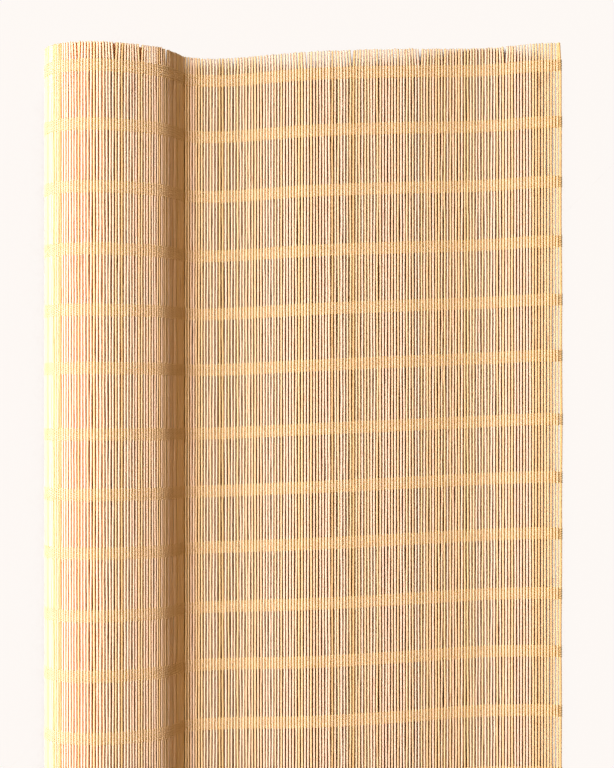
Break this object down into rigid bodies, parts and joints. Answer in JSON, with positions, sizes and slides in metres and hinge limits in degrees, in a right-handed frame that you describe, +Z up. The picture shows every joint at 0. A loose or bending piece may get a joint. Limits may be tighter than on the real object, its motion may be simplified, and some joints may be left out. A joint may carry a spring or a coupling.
{
  "type": "roller blind",
  "caption": "Roller blind of woven natural matchsticks, mostly wound on a spring roller, with its free end drawn out flat in shallow waves.",
  "frame": {"origin": "middle of the object's footprint, on the floor that the roll and the free sheet lie on", "axes": "+X from the roll to the free end of the sheet, +Y along the sticks from the spring end to the idler end, +Z up"},
  "size_m": [0.3706, 0.6208, 0.0742],
  "materials": {
    "straw_sheet": "split straw-coloured sticks woven with pale cotton thread, unvarnished",
    "end_stick": "honey-coloured stick, unvarnished",
    "tube_aluminium": "extruded, mill finish",
    "steel": "drawn and zinc plated",
    "zinc": "die-cast zinc alloy, bare",
    "nylon": "moulded nylon, natural white"
  },
  "bodies": {
    "roll": {"wound_sheet": "straw_sheet", "roller_tube": "tube_aluminium", "spring_end_plug": "nylon", "pawl_pin_a": "steel", "pawl_pin_b": "steel", "spring_anchor": "nylon", "torsion_spring": "steel", "inner_bearing": "nylon", "idler_end_plug": "nylon", "idler_spring": "steel", "idler_retainer": "zinc"},
    "spindle": {"spindle": "steel", "ratchet_hub": "zinc", "spring_collar": "zinc"},
    "pawl_a": {"pawl_a": "zinc"},
    "pawl_b": {"pawl_b": "zinc"},
    "idler_pin": {"idler_pin": "steel"},
    "sheet_strip_01": {"sheet_strip_01": "straw_sheet"},
    "sheet_strip_02": {"sheet_strip_02": "straw_sheet"},
    "sheet_strip_03": {"sheet_strip_03": "straw_sheet"},
    "sheet_strip_04": {"sheet_strip_04": "straw_sheet"},
    "sheet_strip_05": {"sheet_strip_05": "straw_sheet"},
    "sheet_strip_06": {"sheet_strip_06": "straw_sheet"},
    "sheet_strip_07": {"sheet_strip_07": "straw_sheet"},
    "sheet_strip_08": {"sheet_strip_08": "straw_sheet"},
    "sheet_strip_09": {"sheet_strip_09": "straw_sheet"},
    "sheet_strip_10": {"sheet_strip_10": "straw_sheet"},
    "sheet_strip_11": {"sheet_strip_11": "straw_sheet"},
    "sheet_strip_12": {"sheet_strip_12": "straw_sheet"},
    "sheet_strip_13": {"sheet_strip_13": "straw_sheet"},
    "sheet_strip_14": {"sheet_strip_14": "straw_sheet"},
    "sheet_strip_15": {"sheet_strip_15": "straw_sheet"},
    "sheet_strip_16": {"sheet_strip_16": "straw_sheet"},
    "sheet_strip_17": {"sheet_strip_17": "straw_sheet"},
    "sheet_strip_18": {"sheet_strip_18": "straw_sheet"},
    "sheet_strip_19": {"sheet_strip_19": "straw_sheet"},
    "sheet_strip_20": {"sheet_strip_20": "straw_sheet", "end_stick": "end_stick"}
  },
  "joints": [
    {"name": "spindle_turn", "type": "hinge", "parent": "roll", "child": "spindle", "pos_m": [-0.14823, -0.00011, 0.03657], "axis": [0, 1, 0], "continuous": true, "deforming": ["torsion_spring"]},
    {"name": "pawl_a_swing", "type": "hinge", "parent": "roll", "child": "pawl_a", "pos_m": [-0.15673, -0.00011, 0.04807], "axis": [0, 1, 0], "range_deg": [0, 14]},
    {"name": "pawl_b_swing", "type": "hinge", "parent": "roll", "child": "pawl_b", "pos_m": [-0.13973, -0.00011, 0.02507], "axis": [0, 1, 0], "range_deg": [0, 14]},
    {"name": "idler_push", "type": "slide", "parent": "roll", "child": "idler_pin", "axis": [0, -1, 0], "range_m": [0, 0.0095], "stiffness_N_per_m": 300, "springref_m": -0.004, "deforming": ["idler_spring"]},
    {"name": "sheet_bend_01", "type": "hinge", "parent": "roll", "child": "sheet_strip_01", "pos_m": [-0.1308, -0.00011, 0.06918], "axis": [0, 1, 0], "range_deg": [-8, 2]},
    {"name": "sheet_bend_02", "type": "hinge", "parent": "sheet_strip_01", "child": "sheet_strip_02", "pos_m": [-0.11561, -0.00011, 0.06062], "axis": [0, 1, 0], "range_deg": [-8, 25.5]},
    {"name": "sheet_bend_03", "type": "hinge", "parent": "sheet_strip_02", "child": "sheet_strip_03", "pos_m": [-0.10233, -0.00011, 0.04931], "axis": [0, 1, 0], "range_deg": [-8, 1.3]},
    {"name": "sheet_bend_04", "type": "hinge", "parent": "sheet_strip_03", "child": "sheet_strip_04", "pos_m": [-0.09459, -0.00011, 0.03368], "axis": [0, 1, 0], "range_deg": [-8, 15]},
    {"name": "sheet_bend_05", "type": "hinge", "parent": "sheet_strip_04", "child": "sheet_strip_05", "pos_m": [-0.08947, -0.00011, 0.01701], "axis": [0, 1, 0], "range_deg": [-8, 66.1]},
    {"name": "sheet_bend_06", "type": "hinge", "parent": "sheet_strip_05", "child": "sheet_strip_06", "pos_m": [-0.0745, -0.00011, 0.00806], "axis": [0, 1, 0], "range_deg": [-8, 49.9]},
    {"name": "sheet_bend_07", "type": "hinge", "parent": "sheet_strip_06", "child": "sheet_strip_07", "pos_m": [-0.05713, 0.00038, 0.00659], "axis": [0, 1, 0], "range_deg": [-8, 35.8]},
    {"name": "sheet_bend_08", "type": "hinge", "parent": "sheet_strip_07", "child": "sheet_strip_08", "pos_m": [-0.03982, 0.00115, 0.00877], "axis": [0, 1, 0], "range_deg": [-8, 31.6]},
    {"name": "sheet_bend_09", "type": "hinge", "parent": "sheet_strip_08", "child": "sheet_strip_09", "pos_m": [-0.02299, 0.00191, 0.01335], "axis": [0, 1, 0], "range_deg": [-8, 20.7]},
    {"name": "sheet_bend_10", "type": "hinge", "parent": "sheet_strip_09", "child": "sheet_strip_10", "pos_m": [-0.00596, 0.00269, 0.01711], "axis": [0, 1, 0], "range_deg": [-8, 14.3]},
    {"name": "sheet_bend_11", "type": "hinge", "parent": "sheet_strip_10", "child": "sheet_strip_11", "pos_m": [0.01144, 0.00347, 0.01817], "axis": [0, 1, 0], "range_deg": [-8, 16.8]},
    {"name": "sheet_bend_12", "type": "hinge", "parent": "sheet_strip_11", "child": "sheet_strip_12", "pos_m": [0.02886, 0.00425, 0.01733], "axis": [0, 1, 0], "range_deg": [-8, 19.5]},
    {"name": "sheet_bend_13", "type": "hinge", "parent": "sheet_strip_12", "child": "sheet_strip_13", "pos_m": [0.0462, 0.00503, 0.0154], "axis": [0, 1, 0], "range_deg": [-8, 20.8]},
    {"name": "sheet_bend_14", "type": "hinge", "parent": "sheet_strip_13", "child": "sheet_strip_14", "pos_m": [0.06345, 0.00581, 0.01287], "axis": [0, 1, 0], "range_deg": [-8, 21.5]},
    {"name": "sheet_bend_15", "type": "hinge", "parent": "sheet_strip_14", "child": "sheet_strip_15", "pos_m": [0.08065, 0.00658, 0.00997], "axis": [0, 1, 0], "range_deg": [-8, 19.8]},
    {"name": "sheet_bend_16", "type": "hinge", "parent": "sheet_strip_15", "child": "sheet_strip_16", "pos_m": [0.09769, 0.00734, 0.00625], "axis": [0, 1, 0], "range_deg": [-8, 21.7]},
    {"name": "sheet_bend_17", "type": "hinge", "parent": "sheet_strip_16", "child": "sheet_strip_17", "pos_m": [0.11467, 0.00812, 0.0023], "axis": [0, 1, 0], "range_deg": [-8, 30.6]},
    {"name": "sheet_bend_18", "type": "hinge", "parent": "sheet_strip_17", "child": "sheet_strip_18", "pos_m": [0.13205, 0.00889, 0.00085], "axis": [0, 1, 0], "range_deg": [-8, 40.6]},
    {"name": "sheet_bend_19", "type": "hinge", "parent": "sheet_strip_18", "child": "sheet_strip_19", "pos_m": [0.149, 0.00965, 0.00497], "axis": [0, 1, 0], "range_deg": [-8, 23.1]},
    {"name": "sheet_bend_20", "type": "hinge", "parent": "sheet_strip_19", "child": "sheet_strip_20", "pos_m": [0.16587, 0.01041, 0.00938], "axis": [0, 1, 0], "range_deg": [-8, 20.4]}
  ]
}
